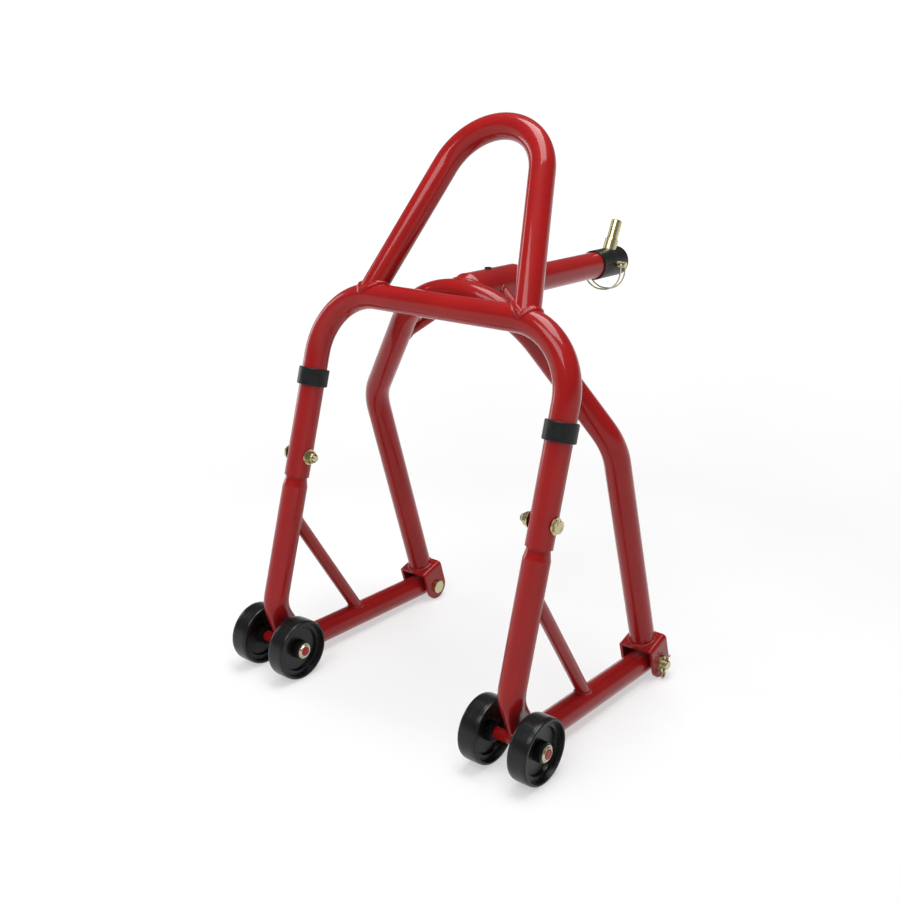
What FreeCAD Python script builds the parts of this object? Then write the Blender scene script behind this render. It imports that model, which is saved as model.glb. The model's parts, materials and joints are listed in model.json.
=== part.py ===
"""Front paddock stand with a headstock lifting arm.

A wheeled main frame (two lower legs with foot tubes, an inverted U frame and a
handle loop) carries a lifting frame that hinges on two clevises behind the
wheels and leans on the back of the crossbar.  The lifting frame holds a rear
facing arm whose end takes a headstock pin, kept by a lock pin with a wire bail.

Millimetres, +Z up, +Y points along the arm.  The origin is the middle of the
whole stand's footprint, on the floor.
"""
import FreeCAD, Part
import math
import os

V = FreeCAD.Vector
ORIGIN = V(0, 0, 0)
X_AXIS = V(1, 0, 0)
Y_AXIS = V(0, 1, 0)
Z_AXIS = V(0, 0, 1)
SIDES = (("left", -1), ("right", 1))

# ---- Driving dimensions -----------------------------------------------------

TUBE_R = 15.2            # 30 mm steel tube with its powder coat
WALL = 2.0
BORE_R = TUBE_R - WALL
LEG_X = 179.0            # half the distance between the two legs
WHEEL_R = 37.5
WHEEL_W = 24.0
WHEEL_OFFSET = 32.4      # wheel centre from its leg
AXLE_R = 6.0
REACH = 468.0            # axle to the far end of the arm
PIVOT_REACH = 280.0      # axle to the lifting frame's pivot
PIVOT_Z = 18.0
CROSSBAR_REACH = 105.5   # axle to crossbar, level
CROSSBAR_Z = 461.2
LEG_LEAN = 16.1          # degrees back from upright
HANDLE_LEAN = 31.0
ARM_Z = 470.0
ARM_R = 17.0
ARM_WALL = 2.5
HEAD_PIN_TILT = 25.0
STOP_GAP = 1.0           # crossbar to lifting frame, where it leans

# Headstock pin and its lock pin
HEAD_PIN_REACH = 440.0   # axle to where the two pins cross
HEAD_PIN_R = 7.1
HEAD_STEM_R = 8.8
HEAD_STEM_TOP = 32.5     # arm centre to the stem's shoulder, along the pin
HEAD_PIN_TOP = 57.5
HEAD_PIN_BEVEL = 1.0
HEAD_PIN_CLEAR = 0.4     # its lower end stops this far above the cap
LOCK_R = 4.0
LOCK_HEAD_X = 26.5       # the bail's eye in the lock pin
LOCK_TIP_X = 28.0
LOCK_END_X = 31.0
BAIL_WIRE_R = 1.1
BAIL_HALF_GAP = 5.5      # each strand's distance from the lock pin's axis
BAIL_HALF_WIDTH = 26.5
BAIL_DROP = 8.0          # straight stretch before the bail's round bottom
BAIL_TIP_GAP = 0.6       # lock pin's tip to the bail's closed end
BAIL_EYE_BEND_R = 1.6
BAIL_TIP_BEND_R = 3.0
RUNNING_GAP = 0.07       # radial clearance of a turning fit

# The tilted pin's top edge is the rearmost point, the wheels' treads the foremost.
TILT = math.radians(HEAD_PIN_TILT)
PIN_EDGE = (HEAD_PIN_TOP - HEAD_PIN_BEVEL) * math.sin(TILT) + HEAD_PIN_R * math.cos(TILT)
AXLE_Y = (WHEEL_R - HEAD_PIN_REACH - PIN_EDGE) / 2
PIVOT_Y = AXLE_Y + PIVOT_REACH
CROSSBAR_Y = AXLE_Y + CROSSBAR_REACH

# Wheeled frame
U_BEND_R = 78.0
SPLICE_Z = 242.0         # lower end of the upper frame's legs
SWAGE_R = BORE_R - 0.1
SWAGE_BORE_R = SWAGE_R - WALL
SWAGE_TOP_Z = 314.0
SWAGE_GAP = 2.5          # bare swage below the upper frame's end
SHOULDER = 10.0          # cone between the swage and the full tube
FLATTEN_Z = 100.0        # the leg is round above this height
FLATTEN_INSET = 0.04     # the pressed part starts this much inside the round tube's skin
BORE_FLOOR_Z = 112.0     # lower end of the leg's bore
BAND_Z = 359.0
BAND_H = 21.0
BAND_R = 18.4
BAND_EDGE = 1.2
FOOT_FRONT_Z = 23.3      # foot tube centre, level with the axle
FOOT_START = 31.0        # foot tube's first end, behind the axle
FOOT_END = 13.0          # foot tube's last end, behind the pivot
BRACE_R = 8.0
BRACE_BORE_R = 6.5
BRACE_TOP_Z = 199.0
BRACE_FOOT = 147.5       # brace's lower end, behind the axle
AXLE_SHOULDER_R = 6.6
AXLE_HALF = 48.5
AXLE_CHAMFER = 0.8
WHEEL_GAP = 0.3          # end play between a wheel and its shoulder

# Wheel, its moulded recesses and its push-on retainer
HUB_R = 12.0
HUB_TAPER = 0.8
RIM_IN_R = 34.0
RIM_LIP = 1.6            # flat of the rim's edge
RIM_TAPER = 1.5
WEB_T = 6.0
WHEEL_BORE_R = AXLE_R + RUNNING_GAP
LEDGE_R = 27.5           # inner edge of the ledge inside the rim
LEDGE_DEPTH = 5.5        # ledge below the rim's face
RETAINER_R = 9.4
RETAINER_T = 1.2
RETAINER_COLLAR_R = 8.2
RETAINER_COLLAR_H = 1.6
RETAINER_GAP = 0.4

# Handle loop
HANDLE_HALF = 112.3
HANDLE_TAPER = 14.8      # degrees each leg leans inwards
HANDLE_TOP = 220.2       # crossbar centre to loop apex, along the loop

# Lifting frame
CLEVIS_HALF = 23.0       # half the clevis's outer width
CLEVIS_T = 4.0
CLEVIS_H = 32.0          # pivot to the clevis's top face
CLEVIS_R = 18.0
CLEVIS_BEND = 5.0
CLEVIS_EDGE = 0.8        # rounding of the bracket's outer edges
PIN_R = 6.0
BUSH_R = 10.0
BUSH_BORE_R = PIN_R + RUNNING_GAP
BUSH_HALF = 18.6
PIN_HEAD_R = 9.2
PIN_HEAD_T = 4.0
PIN_TAIL = 9.5           # pin past the outer cheek
PIN_WASHER_R = 10.5
PIN_WASHER_T = 2.5
SPLIT_PIN_R = 1.5
SPLIT_PIN_TILT = 25.0
SPLIT_PIN_OFFSET = CLEVIS_HALF + PIN_WASHER_T + 3.0
SPLIT_EYE_R = 3.6
SPLIT_WIRE_R = 1.3
SPLIT_TAIL_R = 1.0
LIFT_BEND_Z = 316.0
LIFT_BEND_R = 70.0
ARCH_Z = 473.0           # arch apex centre
LIFT_CONVERGE = 35.0     # degrees each upper leg leans inwards
SOCKET_R = 23.5
SOCKET_NECK = 6.5        # the collar is this much thinner where it meets the arch
SOCKET_NECK_LENGTH = 12.0
SOCKET_END = 238.0       # axle to the socket's open end
ARM_START = 160.0
STRUT_R = 6.0
STRUT_TOP_X = 14.0       # strut's upper end, from the middle plane
STRUT_RISE = 5.0         # strut end above the arm's centre
STRUT_FOOT_Z = 396.0
STRUT_FOOT_BACK = 8.0    # strut's lower end, behind the leg's centre line
STRUT_REACH = 190.0      # axle to the strut's upper end
SET_SCREW_REACH = 186.0
SET_SCREW_R = 4.0
SET_SCREW_PROUD = 1.6
SET_SCREW_KEY = 4.0      # hexagon key size and depth
CAP_R = 19.0
CAP_START = 410.0
CAP_END_WALL = 3.0

# M8 fasteners
M8_R = 4.0
M8_HOLE_R = 4.25
M8_AF = 13.0
M8_HEAD_T = 4.4
M8_NUT_T = 8.0
M8_COLLAR_T = 2.2       # round locking collar at the nut's far end
M8_INSERT_R = 5.2       # nylon ring inside the collar
M8_INSERT_SET = 0.5     # collar lip over the nylon ring
M8_WASHER_R = 9.4
M8_WASHER_T = 1.6
M8_TAIL = 3.0
BOLT_Z = 267.0


# ---- Shape helpers ----------------------------------------------------------

def cylinder(start, end, radius):
    """A solid cylinder from one point to another."""
    return Part.makeCylinder(radius, (end - start).Length, start, end - start)


def rod(points, bends, radius):
    """A solid round bar along a polyline whose corners are arcs of the radii in bends."""
    pieces = []
    here = points[0]
    for corner, after, bend in zip(points[1:-1], points[2:], bends):
        into = (corner - here).normalize()
        out = (after - corner).normalize()
        turn = into.getAngle(out)
        trim = bend * math.tan(turn / 2)
        arc_start = corner - into * trim
        pieces.append(cylinder(here, arc_start, radius))
        axis = into.cross(out).normalize()
        centre = arc_start + axis.cross(into) * bend
        disc = Part.Face(Part.Wire(Part.Circle(arc_start, into, radius).toShape()))
        pieces.append(disc.revolve(centre, axis, math.degrees(turn)))
        here = corner + out * trim
    pieces.append(cylinder(here, points[-1], radius))
    return pieces[0].multiFuse(pieces[1:]).removeSplitter() if len(pieces) > 1 else pieces[0]


def pipe(points, bends, outer, inner):
    """A bent tube, open at both ends."""
    return rod(points, bends, outer).cut(rod(points, bends, inner))


def ring(centre, axis, outer, inner, length):
    """A flat ring that starts at centre and grows along axis."""
    body = Part.makeCylinder(outer, length, centre, axis)
    return body.cut(Part.makeCylinder(inner, length, centre, axis))


def hexagon(centre, axis, across_flats, length):
    """A hexagonal prism with its corners chamfered by a cone at the far end."""
    corner = across_flats / math.sqrt(3)
    points = [V(corner * math.cos(math.radians(a)), corner * math.sin(math.radians(a)), 0)
              for a in range(30, 391, 60)]
    prism = Part.Face(Part.makePolygon(points)).extrude(V(0, 0, length))
    dome = Part.makeCone(corner + length, across_flats / 2 - 0.3, length + 0.9)
    shape = prism.common(dome)
    shape.Placement = FreeCAD.Placement(centre, FreeCAD.Rotation(Z_AXIS, axis))
    return shape


def turned(profile, centre, axis):
    """A solid turned from (distance along axis, radius) points about an axis through centre."""
    points = [V(radius, 0, along) for along, radius in profile]
    points = [V(0, 0, profile[0][0])] + points + [V(0, 0, profile[-1][0])]
    face = Part.Face(Part.makePolygon(points + points[:1]))
    shape = face.revolve(ORIGIN, Z_AXIS, 360)
    shape.Placement = FreeCAD.Placement(centre, FreeCAD.Rotation(Z_AXIS, axis))
    return shape


def leg_point(side, z):
    """A point on the centre line of the leg on one side."""
    return V(side * LEG_X, CROSSBAR_Y - (CROSSBAR_Z - z) * math.tan(math.radians(LEG_LEAN)), z)


def foot_point(side, reach):
    """A point on the foot tube's centre line, this far behind the axle."""
    slope = (PIVOT_Z - FOOT_FRONT_Z) / PIVOT_REACH
    return V(side * LEG_X, AXLE_Y + reach, FOOT_FRONT_Z + slope * reach)


def pivot_point(side, offset=0.0):
    """A point on the pivot axis, offset outwards from the leg's plane."""
    return V(side * (LEG_X + offset), PIVOT_Y, PIVOT_Z)


# ---- Wheeled frame ----------------------------------------------------------

def flat_section(side, z, y, half_x, half_y, squareness):
    """A closed outline, from round (squareness 1) towards a rounded rectangle."""
    count = 24
    points = []
    for i in range(count):
        angle = 2 * math.pi * i / count
        c, s = math.cos(angle), math.sin(angle)
        x = half_x * math.copysign(abs(c) ** (1 / squareness), c)
        points.append(V(side * LEG_X + x, y + half_y * math.copysign(abs(s) ** (1 / squareness), s), z))
    curve = Part.BSplineCurve()
    curve.interpolate(points, PeriodicFlag=True)
    return Part.Wire(curve.toShape())


def flattened_foot(side):
    """The pressed lower end of a leg: it turns upright and thins to a blade at the axle.

    Each section has a height, a middle along Y, half widths across and along, and a squareness.
    """
    level = TUBE_R / math.cos(math.radians(LEG_LEAN))
    round_x = TUBE_R - FLATTEN_INSET
    round_y = level - FLATTEN_INSET
    sections = ((FLATTEN_Z + 4, leg_point(side, FLATTEN_Z + 4).y, round_x, round_y, 1.0),
                (FLATTEN_Z, leg_point(side, FLATTEN_Z).y, round_x, round_y, 1.0),
                (87, AXLE_Y - 0.4, 14.3, 16.2, 1.02),
                (72, AXLE_Y + 3.6, 10.8, 17.8, 1.1),
                (58, AXLE_Y + 10.4, 7.2, 19.6, 1.25),
                (38, AXLE_Y + 19.5, 5.7, 21.0, 1.3),
                (12, AXLE_Y + 27.0, 5.5, 20.0, 1.3))
    wires = [flat_section(side, *section) for section in sections]
    return Part.makeLoft(wires, True, False)


def lower_leg_solid(side):
    """The lower leg without its bore: blade, round tube, cone and swaged top."""
    lean = (leg_point(side, SPLICE_Z) - leg_point(side, FLATTEN_Z)).normalize()
    neck = leg_point(side, SPLICE_Z) - lean * SWAGE_GAP
    shoulder = neck - lean * SHOULDER
    below = leg_point(side, FLATTEN_Z - 20)
    tube = cylinder(below, shoulder, TUBE_R)
    size = 4 * TUBE_R
    corner = V(side * LEG_X - size / 2, below.y - size / 2, FLATTEN_Z + 1 - size)
    tube = tube.cut(Part.makeBox(size, size, size, corner))
    cone = Part.makeCone(TUBE_R, SWAGE_R, SHOULDER, shoulder, lean)
    swage = cylinder(neck, leg_point(side, SWAGE_TOP_Z), SWAGE_R)
    return flattened_foot(side).fuse([tube, cone, swage])


def axle_solid(side):
    """A stub axle across the blade, stepped so that each wheel runs against a shoulder."""
    step = WHEEL_OFFSET - WHEEL_W / 2 - WHEEL_GAP
    half = ((step, AXLE_SHOULDER_R), (step, AXLE_R), (AXLE_HALF - AXLE_CHAMFER, AXLE_R),
            (AXLE_HALF, AXLE_R - AXLE_CHAMFER))
    profile = [(-along, radius) for along, radius in reversed(half)] + list(half)
    return turned(profile, V(side * LEG_X, AXLE_Y, WHEEL_R), X_AXIS)


def bolt_hole(side):
    """The clearance hole for the bolt that joins a lower leg to the upper frame."""
    centre = leg_point(side, BOLT_Z)
    return cylinder(centre - X_AXIS * 2 * TUBE_R, centre + X_AXIS * 2 * TUBE_R, M8_HOLE_R)


def lower_leg(side):
    """One lower leg: a tube swaged at the top and pressed flat at the foot."""
    lean = (leg_point(side, SPLICE_Z) - leg_point(side, FLATTEN_Z)).normalize()
    cone_foot = leg_point(side, SPLICE_Z) - lean * (SWAGE_GAP + SHOULDER + 1)
    bore = cylinder(leg_point(side, BORE_FLOOR_Z), cone_foot, BORE_R)
    upper_bore = cylinder(cone_foot, leg_point(side, SWAGE_TOP_Z), SWAGE_BORE_R)
    leg = lower_leg_solid(side).cut(bore.fuse(upper_bore))
    return leg.cut(bolt_hole(side)).cut(axle_solid(side)).removeSplitter()


def foot_tube(side):
    """The tube along the floor from the blade to the pivot, with a hole for the pivot bush."""
    ends = [foot_point(side, FOOT_START), foot_point(side, PIVOT_REACH + FOOT_END)]
    tube = pipe(ends, [], TUBE_R, BORE_R)
    bush_hole = cylinder(pivot_point(side, -BUSH_HALF), pivot_point(side, BUSH_HALF), BUSH_R)
    return tube.cut(bush_hole).cut(flattened_foot(side)).cut(axle_solid(side))


def foot_brace(side):
    """The thin tube between leg and foot tube, cut to sit on both."""
    top = leg_point(side, BRACE_TOP_Z)
    foot = foot_point(side, BRACE_FOOT)
    brace = pipe([top, foot], [], BRACE_R, BRACE_BORE_R)
    leg = cylinder(leg_point(side, FLATTEN_Z), leg_point(side, SPLICE_Z - 20), TUBE_R)
    foot_bar = cylinder(foot_point(side, FOOT_START), foot_point(side, PIVOT_REACH), TUBE_R)
    return brace.cut(leg).cut(foot_bar)


def pivot_bush(side):
    """The bush welded through the foot tube's end, bored to turn on the clevis pin."""
    return ring(pivot_point(side, -BUSH_HALF), X_AXIS * side, BUSH_R, BUSH_BORE_R, 2 * BUSH_HALF)


def upper_frame_path():
    """Corner points of the inverted U: left leg, crossbar, right leg."""
    corners = [leg_point(side, z) for side, z in
               ((-1, SPLICE_Z), (-1, CROSSBAR_Z), (1, CROSSBAR_Z), (1, SPLICE_Z))]
    return corners, [U_BEND_R, U_BEND_R]


def upper_frame():
    """The inverted U tube, drilled for the two leg bolts."""
    corners, bends = upper_frame_path()
    frame = pipe(corners, bends, TUBE_R, BORE_R)
    return frame.cut(bolt_hole(-1)).cut(bolt_hole(1))


def handle_loop():
    """The tapered loop that stands on the crossbar and leans back."""
    up = V(0, math.sin(math.radians(HANDLE_LEAN)), math.cos(math.radians(HANDLE_LEAN)))
    taper = math.radians(HANDLE_TAPER)
    base = V(0, CROSSBAR_Y, CROSSBAR_Z)
    arc_centre = (HANDLE_TOP - HANDLE_HALF * math.cos(taper)) / (1 - math.sin(taper))
    radius = HANDLE_TOP - arc_centre
    apex = HANDLE_HALF / math.tan(taper)
    feet = [base + X_AXIS * HANDLE_HALF * side for side in (-1, 1)]
    tip = base + up * apex
    points = [feet[0], tip, feet[1]]
    outer = rod(points, [radius], TUBE_R)
    inner = rod(points, [radius], BORE_R)
    corners, bends = upper_frame_path()
    return outer.cut(inner).cut(rod(corners, bends, TUBE_R))


def rubber_band(side):
    """A rubber ring with rounded edges, gripped on a leg just below the bend."""
    lean = (leg_point(side, CROSSBAR_Z) - leg_point(side, SPLICE_Z)).normalize()
    start = leg_point(side, BAND_Z) - lean * BAND_H / 2
    band = ring(start, lean, BAND_R, TUBE_R, BAND_H)
    rims = [e for e in band.Edges if isinstance(e.Curve, Part.Circle) and abs(e.Curve.Radius - BAND_R) < 0.01]
    return band.makeFillet(BAND_EDGE, rims)


def height_bolt(side):
    """The M8 bolt through a leg joint, head outside."""
    out = X_AXIS * side
    seat = leg_point(side, BOLT_Z) + out * (TUBE_R + M8_WASHER_T)
    tail = leg_point(side, BOLT_Z) - out * (TUBE_R + M8_WASHER_T + M8_NUT_T + M8_TAIL)
    head = hexagon(seat, out, M8_AF, M8_HEAD_T)
    profile = ((0, M8_R), ((tail - seat).Length - 1, M8_R), ((tail - seat).Length, M8_R - 1))
    return head.fuse(turned(profile, seat, -out)).removeSplitter()


def nut_seat(side):
    """Where a leg joint's nut starts, and the direction it points."""
    inward = X_AXIS * -side
    return leg_point(side, BOLT_Z) + inward * (TUBE_R + M8_WASHER_T), inward


def height_nut(side):
    """The nut inside the leg, with its round collar recessed for the nylon ring."""
    seat, inward = nut_seat(side)
    collar_foot = seat + inward * (M8_NUT_T - M8_COLLAR_T)
    nut = hexagon(seat, inward, M8_AF, M8_NUT_T - M8_COLLAR_T)
    collar = Part.makeCone(M8_AF / 2 - 0.6, M8_AF / 2 - 1.2, M8_COLLAR_T, collar_foot, inward)
    nut = nut.fuse(collar).cut(Part.makeCylinder(M8_R, M8_NUT_T, seat, inward))
    return nut.cut(Part.makeCylinder(M8_INSERT_R, M8_COLLAR_T, collar_foot, inward)).removeSplitter()


def nut_insert(side):
    """The nylon ring that locks the nut on the bolt's thread."""
    seat, inward = nut_seat(side)
    foot = seat + inward * (M8_NUT_T - M8_COLLAR_T)
    return ring(foot, inward, M8_INSERT_R, M8_R, M8_COLLAR_T - M8_INSERT_SET)


def height_washers(side):
    """The two washers of a leg joint."""
    washers = []
    for way in (-1, 1):
        seat = leg_point(side, BOLT_Z) + X_AXIS * way * TUBE_R
        washers.append(ring(seat, X_AXIS * way, M8_WASHER_R, M8_HOLE_R, M8_WASHER_T))
    return Part.makeCompound(washers)


# ---- Wheels -----------------------------------------------------------------

def wheel(centre):
    """A moulded wheel: round-shouldered tread, thin rim, and a stepped recess round its hub on both faces."""
    half = WHEEL_W / 2
    face = ((half - 5.0, WHEEL_R), (half - 2.2, WHEEL_R - 0.3), (half - 0.9, WHEEL_R - 0.8),
            (half - 0.2, WHEEL_R - 1.5), (half, RIM_IN_R + RIM_LIP), (half, HUB_R - HUB_TAPER))
    profile = [(-along, radius) for along, radius in reversed(face)] + list(face)
    body = turned(profile, ORIGIN, Z_AXIS)
    for way in (-1, 1):
        start = V(0, 0, way * WEB_T / 2)
        depth = half - WEB_T / 2
        ledge = V(0, 0, way * (half - LEDGE_DEPTH))
        dish = Part.makeCone(RIM_IN_R - RIM_TAPER, RIM_IN_R, LEDGE_DEPTH, ledge, Z_AXIS * way)
        well = Part.makeCone(LEDGE_R - RIM_TAPER, LEDGE_R, depth - LEDGE_DEPTH, start, Z_AXIS * way)
        hub = Part.makeCone(HUB_R, HUB_R - HUB_TAPER, depth, start, Z_AXIS * way)
        body = body.cut(dish.fuse(well).cut(hub))
    body = body.cut(Part.makeCylinder(WHEEL_BORE_R, WHEEL_W, V(0, 0, -half)))
    body = body.removeSplitter()
    body.Placement = FreeCAD.Placement(centre, FreeCAD.Rotation(Z_AXIS, X_AXIS))
    return body


def axle_retainers(side):
    """The two push-on rings that keep a side's wheels on their axle."""
    rings = []
    for way in (-1, 1):
        out = X_AXIS * way
        seat = V(side * LEG_X, AXLE_Y, WHEEL_R) + out * (WHEEL_OFFSET + WHEEL_W / 2 + RETAINER_GAP)
        disc = Part.makeCylinder(RETAINER_R, RETAINER_T, seat, out)
        foot = seat + out * RETAINER_T
        collar = Part.makeCone(RETAINER_COLLAR_R, RETAINER_COLLAR_R - 1, RETAINER_COLLAR_H, foot, out)
        shaft = Part.makeCylinder(AXLE_R, RETAINER_T + RETAINER_COLLAR_H, seat, out)
        rings.append(disc.fuse(collar).cut(shaft).removeSplitter())
    return Part.makeCompound(rings)


# ---- Lifting frame ----------------------------------------------------------

def lift_lean():
    """The angle from upright at which the lifting frame lies on the crossbar's back."""
    level = PIVOT_Y - CROSSBAR_Y
    rise = CROSSBAR_Z - PIVOT_Z
    return math.atan2(level, rise) - math.asin((2 * TUBE_R + STOP_GAP) / math.hypot(level, rise))


LIFT_UP = V(0, -math.sin(lift_lean()), math.cos(lift_lean()))
LIFT_BACK = V(0, math.cos(lift_lean()), math.sin(lift_lean()))


def lift_point(x, z):
    """A point of the lifting frame's plane at this height."""
    return V(x, PIVOT_Y, PIVOT_Z) + LIFT_UP * ((z - PIVOT_Z) / LIFT_UP.z)


def lift_path():
    """Corner points of the bent tube: up one leg, in, over the arch and down again."""
    converge = math.radians(LIFT_CONVERGE)
    tip = LEG_X / math.tan(converge)
    arch_top = (lift_point(0, ARCH_Z) - lift_point(0, LIFT_BEND_Z)).Length
    arch_r = (tip - arch_top) / (1 / math.sin(converge) - 1)
    tip_point = lift_point(0, LIFT_BEND_Z) + LIFT_UP * tip
    foot = [V(side * LEG_X, PIVOT_Y, PIVOT_Z) + LIFT_UP * CLEVIS_H for side in (-1, 1)]
    corners = [lift_point(side * LEG_X, LIFT_BEND_Z) for side in (-1, 1)]
    return [foot[0], corners[0], tip_point, corners[1], foot[1]], [LIFT_BEND_R, arch_r, LIFT_BEND_R]


def lift_frame_tube():
    """The lifting frame's single bent tube."""
    points, bends = lift_path()
    return pipe(points, bends, TUBE_R, BORE_R)


def on_clevis_outline(edge):
    """Whether an edge of the clevis's outer block is a sharp one, round its front, back and cheeks."""
    middle = edge.CenterOfMass
    if isinstance(edge.Curve, Part.Circle) and abs(edge.Curve.Radius - CLEVIS_R) < 0.01:
        return True
    return abs(middle.y) > CLEVIS_R - 0.01 and middle.z > 0.01


def clevis(side):
    """The inverted U bracket under a lifting leg: a top plate and two round-ended cheeks."""
    width = 2 * CLEVIS_HALF
    block = Part.makeBox(width, 2 * CLEVIS_R, CLEVIS_H, V(-CLEVIS_HALF, -CLEVIS_R, 0))
    block = block.fuse(Part.makeCylinder(CLEVIS_R, width, V(-CLEVIS_HALF, 0, 0), X_AXIS)).removeSplitter()
    bends = [e for e in block.Edges if abs(e.CenterOfMass.z - CLEVIS_H) < 0.01 and abs(e.CenterOfMass.x) > 1]
    block = block.makeFillet(CLEVIS_BEND, bends)
    block = block.makeFillet(CLEVIS_EDGE, [e for e in block.Edges if on_clevis_outline(e)])
    inside = width - 2 * CLEVIS_T
    gap = Part.makeBox(inside, 2 * CLEVIS_R + 2, CLEVIS_R + CLEVIS_H - CLEVIS_T + 1,
                       V(-inside / 2, -CLEVIS_R - 1, -CLEVIS_R - 1))
    bracket = block.cut(gap)
    bracket = bracket.cut(Part.makeCylinder(PIN_R, width, V(-CLEVIS_HALF, 0, 0), X_AXIS))
    turn = FreeCAD.Rotation(X_AXIS, math.degrees(lift_lean()))
    bracket.Placement = FreeCAD.Placement(pivot_point(side), turn)
    return bracket


def split_pin_axis(side):
    """Where the split pin crosses the clevis pin, and its direction."""
    tilt = math.radians(SPLIT_PIN_TILT)
    return pivot_point(side, SPLIT_PIN_OFFSET), V(0, math.sin(tilt), math.cos(tilt))


def clevis_pin(side):
    """The headed pin through clevis and bush, head inside, drilled for its split pin."""
    start = pivot_point(side, -CLEVIS_HALF - PIN_HEAD_T)
    length = 2 * CLEVIS_HALF + PIN_HEAD_T + PIN_TAIL
    profile = ((0, PIN_HEAD_R - 0.6), (0.6, PIN_HEAD_R), (PIN_HEAD_T, PIN_HEAD_R), (PIN_HEAD_T, PIN_R),
               (length - 1, PIN_R), (length, PIN_R - 1))
    pin = turned(profile, start, X_AXIS * side)
    centre, along = split_pin_axis(side)
    return pin.cut(cylinder(centre - along * 2 * PIN_R, centre + along * 2 * PIN_R, SPLIT_PIN_R + 0.05))


def clevis_washer(side):
    """The washer between the outer cheek and the split pin."""
    return ring(pivot_point(side, CLEVIS_HALF), X_AXIS * side, PIN_WASHER_R, PIN_R + 0.2, PIN_WASHER_T)


def split_pin(side):
    """The split pin: an eye below, a straight shank and two splayed tails."""
    centre, along = split_pin_axis(side)
    normal = along.cross(X_AXIS).normalize()
    shank_foot = centre - along * (PIN_R + 3.2)
    shank_head = centre + along * (PIN_R + 1.4)
    shape = cylinder(shank_foot, shank_head, SPLIT_PIN_R)
    eye = shank_foot - along * (SPLIT_EYE_R - 0.5)
    shape = shape.fuse(Part.makeTorus(SPLIT_EYE_R, SPLIT_WIRE_R, eye, X_AXIS))
    for way in (-1, 1):
        base = shank_head - along * 0.6 + normal * way * 0.35
        tip = base + along * 5 + normal * way * 4.5
        shape = shape.fuse(cylinder(base, tip, SPLIT_TAIL_R)).fuse(Part.makeSphere(SPLIT_TAIL_R, tip))
    return shape


def arm_line(reach):
    """A point on the arm's centre line."""
    return V(0, AXLE_Y + reach, ARM_Z)


def arm_socket():
    """The thick collar welded to the back of the arch, bored for the arm tube and its grub screw."""
    points, bends = lift_path()
    start = lift_point(0, ARCH_Z).y - AXLE_Y
    profile = ((0, SOCKET_R - SOCKET_NECK), (SOCKET_NECK_LENGTH, SOCKET_R),
               (SOCKET_END - start - 3, SOCKET_R), (SOCKET_END - start, SOCKET_R - 3))
    body = turned(profile, arm_line(start), Y_AXIS)
    body = body.cut(rod(points, bends, TUBE_R))
    body = max(body.Solids, key=lambda s: s.Volume)
    screw_foot = arm_line(SET_SCREW_REACH)
    screw_hole = cylinder(screw_foot, screw_foot + Z_AXIS * 2 * SOCKET_R, SET_SCREW_R)
    return body.cut(cylinder(arm_line(ARM_START), arm_line(REACH), ARM_R)).cut(screw_hole)


def arm_tube():
    """The arm: a straight tube in the socket, cross drilled at its far end."""
    tube = pipe([arm_line(ARM_START), arm_line(REACH - CAP_END_WALL)], [], ARM_R, ARM_R - ARM_WALL)
    return tube.cut(head_pin_hole(HEAD_STEM_R + 0.1)).cut(lock_pin_hole(LOCK_R + 0.15))


def arm_set_screw():
    """The grub screw in the socket's top that holds the arm, with its hexagon recess."""
    foot = arm_line(SET_SCREW_REACH) + Z_AXIS * (ARM_R + 0.1)
    head = foot + Z_AXIS * (SOCKET_R - ARM_R + SET_SCREW_PROUD)
    screw = cylinder(foot, head, SET_SCREW_R)
    return screw.cut(hexagon(head - Z_AXIS * SET_SCREW_KEY, Z_AXIS, SET_SCREW_KEY, 2 * SET_SCREW_KEY))


def arm_brace(side):
    """A thin strut from a lifting leg to the side of the socket."""
    points, bends = lift_path()
    leg = rod(points, bends, TUBE_R)
    fraction = (STRUT_FOOT_Z - points[1].z) / (points[2].z - points[1].z)
    corner = points[1] + (points[2] - points[1]) * fraction
    foot = V(side * abs(corner.x), corner.y, corner.z) + LIFT_BACK * STRUT_FOOT_BACK
    top = V(side * STRUT_TOP_X, AXLE_Y + STRUT_REACH, ARM_Z + STRUT_RISE)
    strut = cylinder(foot, top, STRUT_R).cut(leg)
    strut = strut.cut(cylinder(arm_line(100), arm_line(REACH), SOCKET_R))
    return max(strut.Solids, key=lambda s: s.Volume)


def head_pin_direction():
    """The headstock pin's axis, leaning back from upright."""
    return V(0, math.sin(TILT), math.cos(TILT))


def head_pin_hole(radius):
    """A cylinder along the headstock pin's axis, through the whole arm."""
    centre = arm_line(HEAD_PIN_REACH)
    half = head_pin_direction() * 2 * CAP_R
    return cylinder(centre - half, centre + half, radius)


def lock_pin_hole(radius):
    """A cylinder across the arm for the lock pin."""
    centre = arm_line(HEAD_PIN_REACH)
    return cylinder(centre - X_AXIS * 2 * CAP_R, centre + X_AXIS * 2 * CAP_R, radius)


def arm_end_cap():
    """The black cap on the arm's end, holed for the headstock pin above and the lock pin across."""
    length = REACH - CAP_START
    profile = ((0, CAP_R - 0.5), (0.5, CAP_R), (length - 2, CAP_R), (length, CAP_R - 2))
    cap = turned(profile, arm_line(CAP_START), Y_AXIS)
    cap = cap.cut(cylinder(arm_line(CAP_START), arm_line(REACH - CAP_END_WALL), ARM_R))
    centre = arm_line(HEAD_PIN_REACH)
    upper = cylinder(centre, centre + head_pin_direction() * 2 * CAP_R, HEAD_STEM_R + 0.3)
    return cap.cut(upper).cut(lock_pin_hole(LOCK_R + 0.4))


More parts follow.
